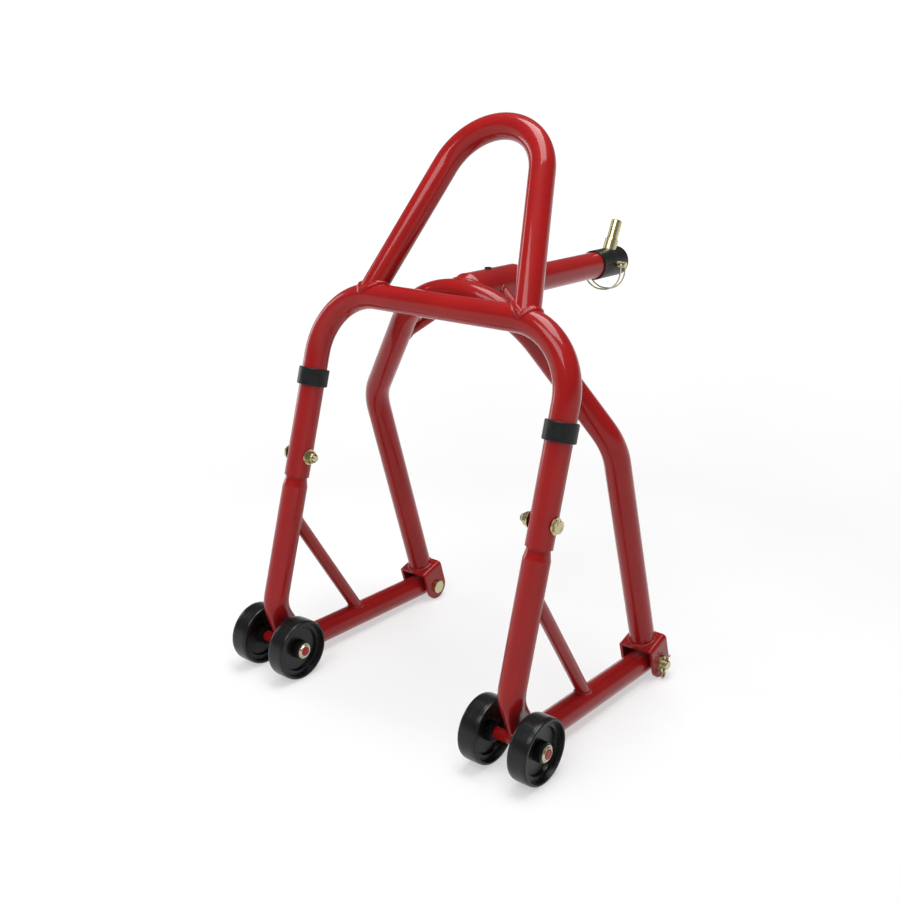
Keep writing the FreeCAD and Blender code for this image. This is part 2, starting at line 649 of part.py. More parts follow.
def headstock_pin():
    """The stepped pin that fits under a motorcycle's steering head."""
    down = -(ARM_R - HEAD_PIN_CLEAR - HEAD_STEM_R * math.sin(TILT)) / math.cos(TILT)
    profile = ((down, HEAD_STEM_R - 1), (down + 1, HEAD_STEM_R), (HEAD_STEM_TOP - 1.2, HEAD_STEM_R),
               (HEAD_STEM_TOP, HEAD_PIN_R + 0.2), (HEAD_STEM_TOP, HEAD_PIN_R),
               (HEAD_PIN_TOP - HEAD_PIN_BEVEL, HEAD_PIN_R), (HEAD_PIN_TOP, HEAD_PIN_R - HEAD_PIN_BEVEL))
    pin = turned(profile, arm_line(HEAD_PIN_REACH), head_pin_direction())
    return pin.cut(lock_pin_hole(LOCK_R + 0.05))


def lock_pin():
    """The pin across the arm that keeps the headstock pin, drilled for its bail."""
    length = LOCK_TIP_X + LOCK_END_X
    start = arm_line(HEAD_PIN_REACH) - X_AXIS * LOCK_TIP_X
    profile = ((0, LOCK_R - 1), (1, LOCK_R), (length - 0.8, LOCK_R), (length, LOCK_R - 0.8))
    pin = turned(profile, start, X_AXIS)
    eye = arm_line(HEAD_PIN_REACH) + X_AXIS * LOCK_HEAD_X
    return pin.cut(cylinder(eye - Y_AXIS * 2 * LOCK_R, eye + Y_AXIS * 2 * LOCK_R, BAIL_WIRE_R + RUNNING_GAP))


def lock_bail():
    """The wire bail: two strands from the lock pin's head, under the arm, to a loop at its tip."""
    centre = arm_line(HEAD_PIN_REACH)
    low = -BAIL_DROP - BAIL_HALF_WIDTH
    tip_x = -LOCK_TIP_X - BAIL_WIRE_R - BAIL_TIP_GAP
    strands = []
    for way in (-1, 1):
        lane = centre + Y_AXIS * way * BAIL_HALF_GAP
        points = [centre + V(LOCK_HEAD_X, way * 0.6, 0), lane + V(LOCK_HEAD_X, 0, 0),
                  lane + V(LOCK_HEAD_X, 0, low), lane + V(tip_x, 0, low), lane + V(tip_x, 0, 0),
                  centre + V(tip_x, 0, 0)]
        round_r = BAIL_HALF_WIDTH - 0.1
        strands.append(rod(points, [BAIL_EYE_BEND_R, round_r, round_r, BAIL_TIP_BEND_R], BAIL_WIRE_R))
    return strands[0].fuse(strands[1]).removeSplitter()


# ---- Output -----------------------------------------------------------------

def paired(name, maker):
    """One node for each side of the stand."""
    return {f"{name}_{label}": maker(side) for label, side in SIDES}


def wheels():
    """Two wheels on each stub axle, one on each side of the leg."""
    shapes = {}
    for label, side in SIDES:
        for place, way in (("inner", -side), ("outer", side)):
            centre = V(side * LEG_X + way * WHEEL_OFFSET, AXLE_Y, WHEEL_R)
            shapes[f"wheel_{label}_{place}"] = wheel(centre)
    return shapes


def nodes():
    """Every node of the stand by name."""
    shapes = {"upper_frame": upper_frame(), "handle_loop": handle_loop()}
    for name, maker in (("lower_leg", lower_leg), ("foot_tube", foot_tube), ("foot_brace", foot_brace),
                        ("pivot_bush", pivot_bush), ("stub_axle", axle_solid), ("rubber_band", rubber_band),
                        ("height_bolt", height_bolt), ("height_nut", height_nut), ("nut_insert", nut_insert),
                        ("height_washers", height_washers), ("axle_retainers", axle_retainers),
                        ("clevis", clevis), ("clevis_pin", clevis_pin), ("clevis_washer", clevis_washer),
                        ("split_pin", split_pin), ("arm_brace", arm_brace)):
        shapes.update(paired(name, maker))
    shapes.update(wheels())
    shapes.update(lift_frame_tube=lift_frame_tube(), arm_socket=arm_socket(), arm_tube=arm_tube(),
                  arm_set_screw=arm_set_screw(), arm_end_cap=arm_end_cap(), headstock_pin=headstock_pin(),
                  lock_pin=lock_pin(), lock_bail=lock_bail())
    return shapes


os.makedirs("parts", exist_ok=True)
for node, shape in nodes().items():
    shape.exportStep(f"parts/{node}.step")
    print(node, "solids", len(shape.Solids), "valid", shape.isValid(), "volume", round(shape.Volume, 1))
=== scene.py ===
"""Looks of the front paddock stand: powder-coated tubes with weld beads, moulded wheels, plated hardware.

Everything is in metres in the CAD frame: X across the stand, +Y along the lifting arm, +Z up.
"""
import json
import math

import bmesh
import bpy
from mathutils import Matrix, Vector, noise
from mathutils.bvhtree import BVHTree


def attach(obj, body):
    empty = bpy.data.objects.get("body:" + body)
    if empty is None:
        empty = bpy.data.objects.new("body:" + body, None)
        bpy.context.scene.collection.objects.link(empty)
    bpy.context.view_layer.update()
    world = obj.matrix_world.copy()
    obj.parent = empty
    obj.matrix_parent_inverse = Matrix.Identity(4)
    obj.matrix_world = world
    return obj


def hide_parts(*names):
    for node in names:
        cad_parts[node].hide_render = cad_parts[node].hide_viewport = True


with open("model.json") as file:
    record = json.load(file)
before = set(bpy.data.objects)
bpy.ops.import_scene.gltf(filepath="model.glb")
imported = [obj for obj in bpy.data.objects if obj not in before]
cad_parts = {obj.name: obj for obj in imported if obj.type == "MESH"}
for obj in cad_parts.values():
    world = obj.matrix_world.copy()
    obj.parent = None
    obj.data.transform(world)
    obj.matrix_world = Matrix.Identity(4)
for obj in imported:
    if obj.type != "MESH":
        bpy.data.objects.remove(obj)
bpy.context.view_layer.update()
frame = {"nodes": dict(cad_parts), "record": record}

MM = 0.001
SIDES = {"left": -1, "right": 1}

# ---- Camera and light -------------------------------------------------------

CAMERA_AZIMUTH = 39.187       # degrees, looking from the stand's front right corner
CAMERA_ELEVATION = 17.902
CAMERA_TARGET = Vector((-0.0746, -0.0079, 0.2542))
CAMERA_DISTANCE = 1.479
CAMERA_LENS = 46.9
FLOOR_R = 14.0
FLOOR_SIDES = 64
SKY_LOW = 1.0                 # how bright the surround is up to SKY_LOW_Z, and from SKY_HIGH_Z
SKY_LOW_Z = 0.06
SKY_HIGH = 0.14
SKY_HIGH_Z = 0.26
SOFTBOXES = {                 # place, width and height, radiance
    "overhead": ((0.1, 0.1, 2.4), (1.7, 1.3), 8.5),
    "high_front": ((0.12, -1.6, 2.1), (1.6, 0.8), 6.5),
    "left": ((-2.2, -0.4, 0.8), (0.5, 1.3), 4.0),
}
SOFTBOX_TARGET = Vector((0, 0, 0.3))


def point_at(obj, direction):
    """Turns a camera or lamp so that it looks along direction, with Z up."""
    obj.rotation_euler = Vector(direction).to_track_quat("-Z", "Y").to_euler()


def make_camera():
    """The camera at the front right, a little above the crossbar."""
    azimuth = math.radians(CAMERA_AZIMUTH)
    elevation = math.radians(CAMERA_ELEVATION)
    forward = Vector((-math.sin(azimuth) * math.cos(elevation),
                      math.cos(azimuth) * math.cos(elevation),
                      -math.sin(elevation)))
    data = bpy.data.cameras.new("camera")
    data.lens = CAMERA_LENS
    data.sensor_width = 36
    data.clip_end = 50
    camera = bpy.data.objects.new("camera", data)
    camera.location = CAMERA_TARGET - forward * CAMERA_DISTANCE
    point_at(camera, forward)
    bpy.context.scene.collection.objects.link(camera)
    bpy.context.scene.camera = camera


def make_softbox(name, place, size, radiance):
    """One rectangular studio lamp of an even radiance, aimed at the stand."""
    data = bpy.data.lights.new(name, "AREA")
    data.shape = "RECTANGLE"
    data.size, data.size_y = size
    data.energy = radiance * math.pi * size[0] * size[1]
    lamp = bpy.data.objects.new(name, data)
    lamp.location = place
    point_at(lamp, SOFTBOX_TARGET - Vector(place))
    bpy.context.scene.collection.objects.link(lamp)


def make_sky():
    """A surround that is white near the horizon and dimmer overhead, like a tent of paper."""
    world = bpy.data.worlds.new("studio")
    world.use_nodes = True
    tree = world.node_tree
    place = tree.nodes.new("ShaderNodeTexCoord").outputs["Generated"]
    split = tree.nodes.new("ShaderNodeSeparateXYZ")
    ramp = tree.nodes.new("ShaderNodeValToRGB")
    tree.links.new(place, split.inputs["Vector"])
    tree.links.new(split.outputs["Z"], ramp.inputs["Fac"])
    tree.links.new(ramp.outputs["Color"], tree.nodes["Background"].inputs["Color"])
    low, high = ramp.color_ramp.elements
    low.position, low.color = SKY_LOW_Z, (SKY_LOW, SKY_LOW, SKY_LOW, 1)
    high.position, high.color = SKY_HIGH_Z, (SKY_HIGH, SKY_HIGH, SKY_HIGH, 1)
    bpy.context.scene.world = world


def make_floor():
    """A pale floor, large enough to reach the horizon."""
    mesh = bpy.data.meshes.new("floor")
    shape = bmesh.new()
    angles = [2 * math.pi * i / FLOOR_SIDES for i in range(FLOOR_SIDES)]
    shape.faces.new([shape.verts.new((FLOOR_R * math.cos(a), FLOOR_R * math.sin(a), 0)) for a in angles])
    shape.to_mesh(mesh)
    shape.free()
    floor = bpy.data.objects.new("floor", mesh)
    bpy.context.scene.collection.objects.link(floor)
    floor.data.materials.append(floor_material())


def make_studio():
    """Floor, surround and three softboxes."""
    make_sky()
    make_floor()
    for name, (place, size, radiance) in SOFTBOXES.items():
        make_softbox(name, place, size, radiance)


# ---- Materials --------------------------------------------------------------

class Recipe:
    """A new material on a Principled shader, with short ways to add noise to it."""

    def __init__(self, name, **values):
        self.material = bpy.data.materials.new(name)
        self.material.use_nodes = True
        self.tree = self.material.node_tree
        self.shader = self.tree.nodes["Principled BSDF"]
        self.place = self.tree.nodes.new("ShaderNodeTexCoord").outputs["Object"]
        self.normal = None
        for socket, value in values.items():
            self.shader.inputs[socket.replace("_", " ")].default_value = value

    def node(self, kind, **inputs):
        """A node of this kind with its input values set."""
        made = self.tree.nodes.new(kind)
        for socket, value in inputs.items():
            made.inputs[socket.replace("_", " ")].default_value = value
        return made

    def stretched(self, scale):
        """The object's coordinates scaled by a different factor along each axis."""
        mapping = self.node("ShaderNodeMapping", Scale=scale)
        self.tree.links.new(self.place, mapping.inputs["Vector"])
        return mapping.outputs["Vector"]

    def noise(self, scale, detail=3.0, roughness=0.5, place=None):
        """Cloudy noise between 0 and 1, with about scale features a metre."""
        made = self.node("ShaderNodeTexNoise", Scale=scale, Detail=detail, Roughness=roughness)
        self.tree.links.new(place or self.place, made.inputs["Vector"])
        return made.outputs["Fac"]

    def ramp(self, factor, *stops):
        """Colours along a 0 to 1 value, as (position, colour) stops."""
        made = self.node("ShaderNodeValToRGB")
        self.tree.links.new(factor, made.inputs["Fac"])
        elements = made.color_ramp.elements
        while len(elements) < len(stops):
            elements.new(0.5)
        for element, (position, colour) in zip(elements, stops):
            element.position = position
            element.color = (*colour, 1.0)
        return made.outputs["Color"]

    def span(self, factor, low, high, start=0.3, end=0.7):
        """Maps the middle of a 0 to 1 value onto low to high."""
        made = self.node("ShaderNodeMapRange", From_Min=start, From_Max=end, To_Min=low, To_Max=high)
        self.tree.links.new(factor, made.inputs["Value"])
        return made.outputs["Result"]

    def feed(self, output, socket):
        """Joins an output to one of the shader's sockets."""
        self.tree.links.new(output, self.shader.inputs[socket])

    def bump(self, height, strength, distance):
        """Adds bump on top of what is there already."""
        made = self.node("ShaderNodeBump", Strength=strength, Distance=distance)
        self.tree.links.new(height, made.inputs["Height"])
        if self.normal:
            self.tree.links.new(self.normal, made.inputs["Normal"])
        self.normal = made.outputs["Normal"]
        self.tree.links.new(self.normal, self.shader.inputs["Normal"])


def floor_material():
    """Matte pale paper with the faintest mottling, glowing more and more away from the stand."""
    paper = Recipe("studio_paper", Roughness=0.9, Emission_Color=(1.0, 1.0, 1.0, 1.0))
    mottle = paper.ramp(paper.noise(3.0), (0.3, (0.35, 0.35, 0.35)), (0.7, (0.37, 0.37, 0.37)))
    paper.feed(mottle, "Base Color")
    reach = paper.tree.nodes.new("ShaderNodeVectorMath")
    reach.operation = "LENGTH"
    paper.tree.links.new(paper.place, reach.inputs[0])
    glow = paper.span(reach.outputs["Value"], 0.52, 1.0, start=0.7, end=3.0)
    paper.feed(glow, "Emission Strength")
    return paper.material


def powder_coat():
    """Gloss red powder coat: deep red, orange peel, slightly uneven gloss."""
    coat = Recipe("red_powder_coat", Specular_IOR_Level=0.06,
                  Coat_Weight=1.0, Coat_Roughness=0.075, Coat_IOR=1.30)
    tint = coat.ramp(coat.noise(22.0, 4.0), (0.3, (0.244, 0.0058, 0.0060)), (0.7, (0.282, 0.0076, 0.0077)))
    coat.feed(tint, "Base Color")
    coat.feed(coat.span(coat.noise(160.0), 0.34, 0.46), "Roughness")
    coat.bump(coat.noise(330.0, 2.0), 0.08, 0.0006)
    coat.bump(coat.noise(1500.0, 2.0), 0.04, 0.0002)
    return coat.material


def wheel_plastic():
    """Black moulded plastic: satin, with fine turning lines round the tread and faint grey scuffs."""
    plastic = Recipe("black_plastic", IOR=1.45, Specular_IOR_Level=0.34)
    lines = plastic.noise(1.0, 4.0, 0.6, plastic.stretched((1500.0, 20.0, 20.0)))
    scuffs = plastic.noise(60.0, 7.0, 0.65)
    tint = plastic.ramp(scuffs, (0.45, (0.0060, 0.0064, 0.0066)), (0.8, (0.014, 0.014, 0.0145)))
    plastic.feed(tint, "Base Color")
    plastic.feed(plastic.span(lines, 0.20, 0.36), "Roughness")
    plastic.bump(lines, 0.22, 0.0002)
    plastic.bump(plastic.noise(1800.0, 2.0), 0.08, 0.0002)
    return plastic.material


def black_rubber():
    """Black rubber with a dusty bloom."""
    rubber = Recipe("black_rubber", IOR=1.45, Specular_IOR_Level=0.22)
    bloom = rubber.noise(110.0, 6.0, 0.65)
    tint = rubber.ramp(bloom, (0.35, (0.007, 0.0075, 0.008)), (0.75, (0.014, 0.0145, 0.015)))
    rubber.feed(tint, "Base Color")
    rubber.feed(rubber.span(bloom, 0.28, 0.42), "Roughness")
    rubber.bump(rubber.noise(1300.0, 3.0), 0.12, 0.0003)
    return rubber.material


def yellow_zinc():
    """Yellow passivated zinc: a pale olive gold that drifts a little."""
    zinc = Recipe("yellow_zinc", Metallic=1.0)
    drift = zinc.noise(70.0, 2.0, 0.5)
    zinc.feed(zinc.ramp(drift, (0.3, (0.50, 0.46, 0.25)), (0.7, (0.56, 0.49, 0.31))), "Base Color")
    zinc.feed(zinc.span(zinc.noise(900.0), 0.24, 0.33), "Roughness")
    zinc.bump(zinc.noise(1400.0, 2.0), 0.02, 0.0001)
    return zinc.material


def bright_steel():
    """Bright plated steel, mottled, with a hint of straw colour."""
    steel = Recipe("bright_steel", Metallic=1.0)
    mottle = steel.noise(700.0, 3.0, 0.6)
    steel.feed(steel.ramp(mottle, (0.3, (0.42, 0.38, 0.27)), (0.7, (0.62, 0.57, 0.45))), "Base Color")
    steel.feed(steel.span(mottle, 0.20, 0.32), "Roughness")
    steel.bump(steel.noise(3000.0, 2.0), 0.06, 0.0001)
    return steel.material


def aged_zinc():
    """Dark yellow zinc: brownish bronze with darker freckles."""
    zinc = Recipe("aged_zinc", Metallic=1.0)
    freckles = zinc.noise(420.0, 5.0, 0.65)
    zinc.feed(zinc.ramp(freckles, (0.35, (0.20, 0.13, 0.065)), (0.65, (0.42, 0.31, 0.18))), "Base Color")
    zinc.feed(zinc.span(freckles, 0.20, 0.38), "Roughness")
    zinc.bump(zinc.noise(2200.0, 2.0), 0.08, 0.0001)
    return zinc.material


def dark_steel():
    """Black oxide: nearly black metal with a faint warm mottling."""
    steel = Recipe("dark_steel", Metallic=0.8)
    mottle = steel.noise(400.0, 4.0, 0.6)
    steel.feed(steel.ramp(mottle, (0.3, (0.020, 0.018, 0.017)), (0.7, (0.045, 0.040, 0.036))), "Base Color")
    steel.feed(steel.span(mottle, 0.34, 0.48), "Roughness")
    steel.bump(steel.noise(2400.0, 2.0), 0.08, 0.0001)
    return steel.material


MAKERS = {
    "red_powder_coat": powder_coat,
    "black_plastic": wheel_plastic,
    "black_rubber": black_rubber,
    "yellow_zinc": yellow_zinc,
    "bright_steel": bright_steel,
    "aged_zinc": aged_zinc,
    "dark_steel": dark_steel,
}


def paint_frame():
    """Gives every CAD node the finish of its material slot; returns the finishes by slot."""
    finishes = {slot: make() for slot, make in MAKERS.items()}
    slots = {part["node"]: part["material_slot"] for part in frame["record"]["subparts"]}
    for name, node in frame["nodes"].items():
        node.data.materials.clear()
        node.data.materials.append(finishes[slots[name]])
    return finishes


# ---- Pieces -----------------------------------------------------------------

FINISHES = paint_frame()
JOIN_DISTANCE = 0.004 * MM


def add_piece(name, shape, slot, body, sharp):
    """Turns a bmesh into an object that rides on a body, smooth except at edges sharper than sharp."""
    bmesh.ops.recalc_face_normals(shape, faces=shape.faces)
    mesh = bpy.data.meshes.new(name)
    shape.to_mesh(mesh)
    shape.free()
    mesh.shade_smooth()
    mesh.set_sharp_from_angle(angle=math.radians(sharp))
    piece = bpy.data.objects.new(name, mesh)
    bpy.context.scene.collection.objects.link(piece)
    piece.data.materials.append(FINISHES[slot])
    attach(piece, body)
    return piece


def joined_mesh(node):
    """A CAD node's mesh with its split vertices joined, as a bmesh."""
    shape = bmesh.new()
    shape.from_mesh(frame["nodes"][node].data)
    bmesh.ops.remove_doubles(shape, verts=shape.verts, dist=JOIN_DISTANCE)
    return shape


# ---- Weld beads -------------------------------------------------------------

BEAD_BULGE = 0.3              # how proud a bead stands of a flat fillet, as a share of its leg
BEAD_SWELL = 0.2              # how much its size drifts along the seam
SWELL_LENGTH = 9 * MM
RUN_OUT = 4 * MM              # how far an open bead takes to reach its full size
RIPPLE_PITCH = 2.3 * MM
RIPPLE_DEPTH = 0.16
RIPPLE_CURVE = 0.28           # how far a ripple's middle runs ahead of its toes, in pitches
BEAD_FACETS = 8
BEAD_ROOT = 0.5 * MM          # how far a bead reaches below its seam
BEAD_STEP = 0.55 * MM
SEAM_TOLERANCE = 0.06 * MM
SEAM_REACH = 2                # neighbours that smooth a seam's points and its normals
NORMAL_REACH = 3
PROBE_LIFT = 0.6 * MM         # where the branch's normal is looked up: off the main part, and outwards
PROBE_OUT = 0.3 * MM
RAY_INSET = 0.25 * MM
RAY_HEIGHT = 3.2              # in radii of the tube
SEED_SCALE = 97               # spreads the seams' seeds far apart in the noise
COLLAR_STEP = 0.2 * MM

# Where the straight tubes stand and how they lean, in millimetres and degrees as in the CAD
LEG_X = 179.0
AXLE_Y = -216.406
PIVOT_YZ = (63.594, 18.0)
CROSSBAR_YZ = (-110.906, 461.2)
TUBE_R = 15.2
FRAME_LEAN = 16.1
LIFT_LEAN = 17.71
HANDLE_LEAN = 31.0
HANDLE_TAPER = 14.8
HANDLE_X = 112.3
BRACE_R = 8.0
BRACE_TOP = 262.2             # drop from the crossbar to the brace's upper end
BRACE_FOOT_YZ = (AXLE_Y + 147.5, 20.5)
CLEVIS_TOP = 32.0             # pivot to the top of the clevis
ARCH_Z = 473.0
ARM_Z = 470.0
COLLAR_R = 23.5
COLLAR_NECK = 6.5             # how much thinner the collar is at the arch
COLLAR_NECK_LENGTH = 12.0

# Legs of the beads
HANDLE_WELD = 4.2 * MM
COLLAR_WELD = 3.6 * MM
CLEVIS_WELD = 3.2 * MM
BLADE_WELD = 2.6 * MM
BRACE_WELD = 2.4 * MM
AXLE_WELD = 1.9 * MM
STRUT_WELD_ARCH = 2.6 * MM
STRUT_WELD_COLLAR = 1.9 * MM


def seam_loops(branch, main_tree):
    """Closed chains of the branch's edges that lie on the main part's surface, longest first."""
    on_main = set()
    for vert in branch.verts:
        hit = main_tree.find_nearest(vert.co, SEAM_TOLERANCE)
        if hit[0] is not None:
            on_main.add(vert)
    links = {}
    for edge in branch.edges:
        a, b = edge.verts
        if a in on_main and b in on_main and len(edge.link_faces) == 2:
            resting = [all(v in on_main for v in face.verts) for face in edge.link_faces]
            if resting.count(True) == 1:
                links.setdefault(a, []).append(b)
                links.setdefault(b, []).append(a)
    loops = []
    seen = set()
    for start in links:
        if start in seen:
            continue
        chain = [start]
        seen.add(start)
        while True:
            onward = [v for v in links[chain[-1]] if v not in seen]
            if not onward:
                break
            chain.append(onward[0])
            seen.add(onward[0])
        loops.append((chain, chain[0] in links[chain[-1]] and len(chain) > 2))
    return sorted(loops, key=lambda loop: -chain_length(loop[0]))


def chain_length(chain):
    """Length along a chain of vertices."""
    return sum((b.co - a.co).length for a, b in zip(chain, chain[1:]))


def walk(points, closed, step):
    """Points at an even step along a polyline."""
    if closed:
        points = points + points[:1]
    spans = [(b - a).length for a, b in zip(points, points[1:])]
    total = sum(spans)
    count = max(8, round(total / step))
    even = []
    index, passed = 0, 0.0
    for i in range(count if closed else count + 1):
        along = total * i / count
        while index < len(spans) - 1 and passed + spans[index] < along:
            passed += spans[index]
            index += 1
        share = (along - passed) / spans[index] if spans[index] > 0 else 0
        even.append(points[index].lerp(points[index + 1], min(1.0, share)))
    return even


def smoothed(vectors, closed, reach):
    """Running mean of a list of vectors over reach neighbours each way."""
    count = len(vectors)
    result = []
    for i in range(count):
        total = Vector()
        for j in range(i - reach, i + reach + 1):
            total += vectors[j % count if closed else min(max(j, 0), count - 1)]
        result.append(total / (2 * reach + 1))
    return result


def bead_mesh(points, closed, along_main, along_branch, outward, leg, seed):
    """A rippled fillet along points, with one toe on each of the two surfaces."""
    shape = bmesh.new()
    count = len(points)
    step = (points[1] - points[0]).length
    sections = []
    shares = [i / BEAD_FACETS for i in range(BEAD_FACETS + 1)]
    for i, point in enumerate(points):
        swell = 1 + BEAD_SWELL * noise.noise(Vector((i * step / SWELL_LENGTH, seed, 0)))
        if not closed:
            swell *= min(1.0, 0.25 + min(i, count - 1 - i) * step / RUN_OUT)
        ring = []
        for share in shares:
            across = 2 * share - 1
            phase = i * step / RIPPLE_PITCH + RIPPLE_CURVE * (1 - across * across)
            ripple = 1 + RIPPLE_DEPTH * math.cos(2 * math.pi * phase) * (1 - across ** 4)
            chord = (along_main[i] * (1 - share) + along_branch[i] * share) * leg
            proud = outward[i] * leg * BEAD_BULGE * math.sin(math.pi * share) * ripple
            ring.append(shape.verts.new(point + (chord + proud) * swell))
        ring.append(shape.verts.new(point - outward[i] * BEAD_ROOT))
        sections.append(ring)
    pairs = list(zip(sections, sections[1:] + (sections[:1] if closed else [])))
    for low, high in pairs:
        for j in range(len(low)):
            shape.faces.new((low[j - 1], low[j], high[j], high[j - 1]))
    if not closed:
        shape.faces.new(sections[0])
        shape.faces.new(list(reversed(sections[-1])))
    return shape


def lay_bead(name, points, closed, main_normals, branch_normals, body, leg):
    """A weld bead along a seam whose two surfaces have these normals."""
    main_normals = [v.normalized() for v in smoothed(main_normals, closed, NORMAL_REACH)]
    branch_normals = [v.normalized() for v in smoothed(branch_normals, closed, NORMAL_REACH)]
    along_main, along_branch, outward = [], [], []
    for main, branch in zip(main_normals, branch_normals):
        along_main.append((branch - main * branch.dot(main)).normalized())
        along_branch.append((main - branch * main.dot(branch)).normalized())
        outward.append((main + branch).normalized())
    seed = points[0].length * SEED_SCALE
    shape = bead_mesh(points, closed, along_main, along_branch, outward, leg, seed)
    add_piece(name, shape, "red_powder_coat", body, sharp=80)


def weld_seam(branch_name, main_name, body, leg):
    """A weld bead along the longest seam where one CAD part is cut to fit another."""
    branch = joined_mesh(branch_name)
    main = joined_mesh(main_name)
    branch_tree = BVHTree.FromBMesh(branch)
    main_tree = BVHTree.FromBMesh(main)
    chain, closed = seam_loops(branch, main_tree)[0]
    points = smoothed(walk([v.co.copy() for v in chain], closed, BEAD_STEP), closed, SEAM_REACH)
    main_normals, branch_normals = [], []
    middle = sum(points, Vector()) / len(points)
    for point in points:
        main_normal = main_tree.find_nearest(point)[1]
        above = point + main_normal * PROBE_LIFT + (point - middle).normalized() * PROBE_OUT
        main_normals.append(main_normal)
        branch_normals.append(branch_tree.find_nearest(above)[1])
    name = f"weld_{branch_name}_{main_name}"
    lay_bead(name, points, closed, main_normals, branch_normals, body, leg)
    branch.free()
    main.free()


def weld_round(name, foot, along, radius, main_name, body, leg):
    """A weld bead round the foot of a straight tube that stands on another part."""
    main = joined_mesh(main_name)
    tree = BVHTree.FromBMesh(main)
    side = along.orthogonal().normalized()
    other = along.cross(side)
    count = round(2 * math.pi * radius / BEAD_STEP)
    points, main_normals, branch_normals = [], [], []
    for i in range(count):
        angle = 2 * math.pi * i / count
        out = side * math.cos(angle) + other * math.sin(angle)
        start = foot + out * (radius - RAY_INSET) + along * RAY_HEIGHT * radius
        hit, normal, _, _ = tree.ray_cast(start, -along)
        if hit is None:
            raise RuntimeError(f"the tube of {name} doesn't stand on {main_name}")
        points.append(hit)
        main_normals.append(normal)
        branch_normals.append(out)
    lay_bead(name, points, True, main_normals, branch_normals, body, leg)
    main.free()


def weld_collar():
    """The bead where the arm's collar, which tapers towards the arch, is cut to fit the arch."""
    main = joined_mesh("lift_frame_tube")
    tree = BVHTree.FromBMesh(main)
    rise = (ARCH_Z - PIVOT_YZ[1]) * math.tan(math.radians(LIFT_LEAN))
    start = Vector((0, PIVOT_YZ[0] - rise, ARM_Z)) * MM
    full = COLLAR_R * MM
    neck = (COLLAR_R - COLLAR_NECK) * MM
    neck_length = COLLAR_NECK_LENGTH * MM
    count = round(2 * math.pi * full / BEAD_STEP)
    points, main_normals, branch_normals = [], [], []
    for i in range(count):
        angle = 2 * math.pi * i / count
        out = Vector((math.cos(angle), 0, math.sin(angle)))
        along = 2 * full
        while along > 0:
            radius = neck + (full - neck) * min(1, along / neck_length)
            point = start + out * radius + Vector((0, along, 0))
            near, normal, _, _ = tree.find_nearest(point)
            if (point - near).dot(normal) < 0:
                break
            along -= COLLAR_STEP
        points.append(point)
        main_normals.append(normal)
        branch_normals.append(out)
    points = smoothed(points, True, SEAM_REACH)
    lay_bead("weld_collar", points, True, main_normals, branch_normals, "lifting_frame", COLLAR_WELD)
    main.free()


def upright(lean, side=0, taper=0):
    """A direction that leans back by one angle and inwards by another, in degrees."""
    lean, taper = math.radians(lean), math.radians(taper)
    up = Vector((0, math.sin(lean), math.cos(lean)))
    return up * math.cos(taper) + Vector((-side, 0, 0)) * math.sin(taper)


def brace_ends(side):
    """The ends of a foot brace's centre line: on the leg and on the foot tube."""
    down_leg = upright(FRAME_LEAN) * (BRACE_TOP / math.cos(math.radians(FRAME_LEAN)))
    top = Vector((side * LEG_X, *CROSSBAR_YZ)) - down_leg
    foot = Vector((side * LEG_X, *BRACE_FOOT_YZ))
    return top * MM, foot * MM


def weld_side(label, side):
    """The welds on one side of the stand; side is -1 or 1."""
    leg, foot_tube, brace = f"lower_leg_{label}", f"foot_tube_{label}", f"arm_brace_{label}"
    foot = Vector((side * HANDLE_X, *CROSSBAR_YZ)) * MM
    way = upright(HANDLE_LEAN, side, HANDLE_TAPER)
    weld_round(f"weld_handle_{label}", foot, way, TUBE_R * MM, "upper_frame", "main_frame", HANDLE_WELD)
    top, foot = brace_ends(side)
    run = (foot - top).normalized()
    weld_round(f"weld_brace_top_{label}", top, run, BRACE_R * MM, leg, "main_frame", BRACE_WELD)
    weld_round(f"weld_brace_foot_{label}", foot, -run, BRACE_R * MM, foot_tube, "main_frame", BRACE_WELD)
    way = upright(-LIFT_LEAN)
    foot = Vector((side * LEG_X, *PIVOT_YZ)) * MM + way * CLEVIS_TOP * MM
    clevis = f"clevis_{label}"
    weld_round(f"weld_{clevis}", foot, way, TUBE_R * MM, clevis, "lifting_frame", CLEVIS_WELD)
    weld_seam(foot_tube, leg, "main_frame", BLADE_WELD)
    weld_seam(leg, f"stub_axle_{label}", "main_frame", AXLE_WELD)
    weld_seam(brace, "lift_frame_tube", "lifting_frame", STRUT_WELD_ARCH)
    weld_seam(brace, "arm_socket", "lifting_frame", STRUT_WELD_COLLAR)


# ---- Leg bolts --------------------------------------------------------------

BOLT_Z = 267.0
BOLT_R = 4.0
BOLT_SEAT = 16.8              # leg's centre to the seat of the head or nut
BOLT_SIDES = 72
BOLT_TAIL = 3.0
HEAD_FLATS = 13.0
HEAD_T = 4.4
HEAD_STEPS = 12
HEAD_EDGE = 0.3               # rounding of the head's foot
HEAD_CONE = 1.7               # the chamfer's slope
DISH_R = 3.6
DISH_DEPTH = 0.35
DISH_SLOPE = 0.5
NUT_T = 8.0
THREAD_IN_NUT = 4.0
THREAD_PITCH = 1.25
THREAD_DEPTH = 0.6
THREAD_STEP = 0.16
TIP_CHAMFER = 0.9
SHANK_EASE = 0.05             # the plain shank is this much thinner than the thread


def hex_radius(angle, flats):
    """Distance from a hexagon's centre to its outline at this angle."""
    off = (angle + math.pi / 6) % (math.pi / 3) - math.pi / 6
    return flats / 2 / math.cos(off)


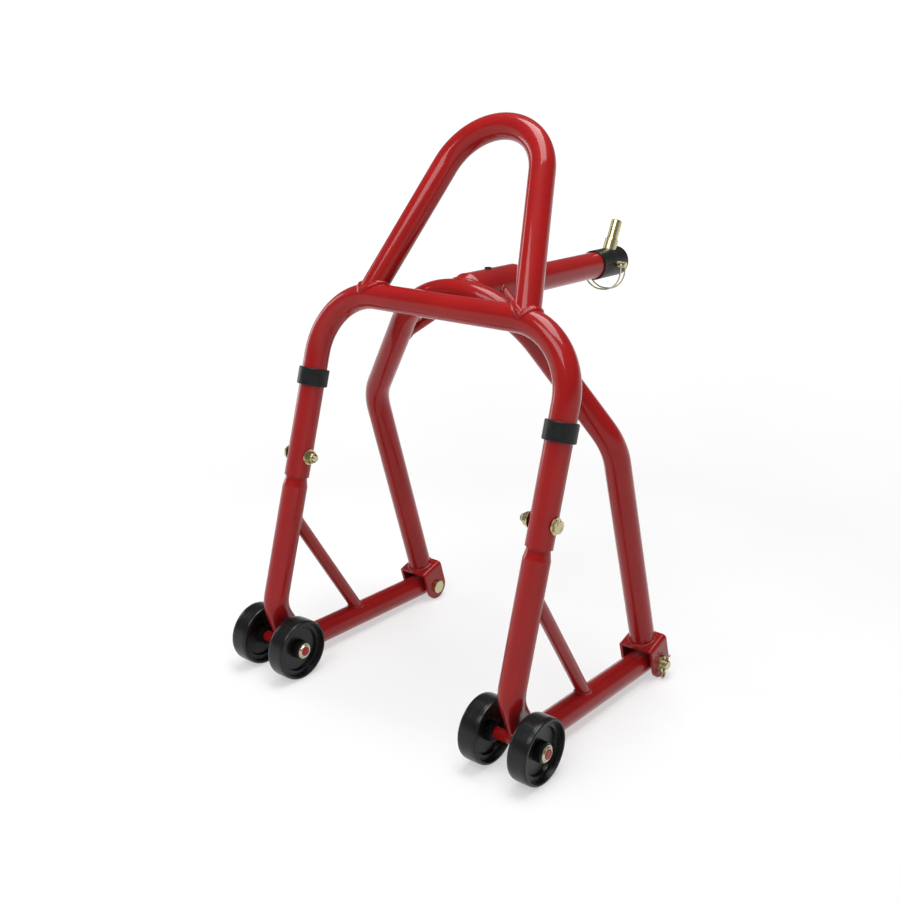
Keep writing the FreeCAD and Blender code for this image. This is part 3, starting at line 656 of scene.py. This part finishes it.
def skin(rows, around):
    """A closed surface through rings; each row is a distance along Z and a radius for every angle."""
    shape = bmesh.new()
    angles = [2 * math.pi * i / around for i in range(around)]
    rings = [[shape.verts.new((radius(a) * math.cos(a), radius(a) * math.sin(a), along)) for a in angles]
             for along, radius in rows]
    for low, high in zip(rings, rings[1:]):
        for i in range(around):
            shape.faces.new((low[i - 1], low[i], high[i], high[i - 1]))
    shape.faces.new(list(reversed(rings[0])))
    shape.faces.new(rings[-1])
    return shape


def bolt_head_rows():
    """Rows of a chamfered hexagon head with a shallow dished top, from its seat outwards."""
    rows = [(0.0, lambda a: HEAD_FLATS / 2 - 0.3), (0.25, lambda a: HEAD_FLATS / 2 - 0.1)]
    for step in range(HEAD_STEPS + 1):
        along = HEAD_EDGE + (HEAD_T - HEAD_EDGE) * step / HEAD_STEPS
        cone = HEAD_FLATS / 2 - 0.25 + (HEAD_T - along) * HEAD_CONE
        rows.append((along, lambda a, cone=cone: min(hex_radius(a, HEAD_FLATS), cone)))
    rows.append((HEAD_T, lambda a: DISH_R))
    rows.append((HEAD_T - DISH_DEPTH, lambda a: DISH_R - DISH_SLOPE))
    return rows


def bolt_shank_rows():
    """Rows of the shank, threaded with a helix where it leaves the nut, from inside the head inwards."""
    end = 2 * BOLT_SEAT + NUT_T + BOLT_TAIL
    start = end - BOLT_TAIL - THREAD_IN_NUT
    rows = [(-1.0, lambda a: BOLT_R - SHANK_EASE), (start, lambda a: BOLT_R - SHANK_EASE)]
    steps = round((end - start) / THREAD_STEP)
    for step in range(1, steps + 1):
        along = start + (end - start) * step / steps
        chamfer = BOLT_R - max(0.0, TIP_CHAMFER - (end - along))

        def thread(a, along=along, chamfer=chamfer):
            turn = (along / THREAD_PITCH - a / (2 * math.pi)) % 1
            return min(chamfer, BOLT_R - THREAD_DEPTH * (1 - abs(2 * turn - 1)))
        rows.append((along, thread))
    return rows


def make_bolt(label, side):
    """A leg bolt in full detail, in place of the CAD's plain one."""
    lean = math.tan(math.radians(FRAME_LEAN))
    middle = Vector((side * LEG_X, CROSSBAR_YZ[0] - (CROSSBAR_YZ[1] - BOLT_Z) * lean, BOLT_Z))
    bolt = bmesh.new()
    for rows, way in ((bolt_head_rows(), side), (bolt_shank_rows(), -side)):
        part = skin(rows, BOLT_SIDES)
        turn = Vector((way, 0, 0)).to_track_quat("Z", "Y").to_matrix().to_4x4()
        seat = middle + Vector((side * BOLT_SEAT, 0, 0))
        for vert in part.verts:
            vert.co = (turn @ vert.co + seat) * MM
        mesh = bpy.data.meshes.new("bolt_part")
        part.to_mesh(mesh)
        part.free()
        bolt.from_mesh(mesh)
        bpy.data.meshes.remove(mesh)
    piece = add_piece(f"bolt_{label}", bolt, "yellow_zinc", "main_frame", sharp=30)
    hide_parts(f"height_bolt_{label}")


make_camera()
make_studio()
for label, side in SIDES.items():
    weld_side(label, side)
weld_collar()
for label, side in SIDES.items():
    make_bolt(label, side)
bpy.context.scene.view_settings.view_transform = "Standard"
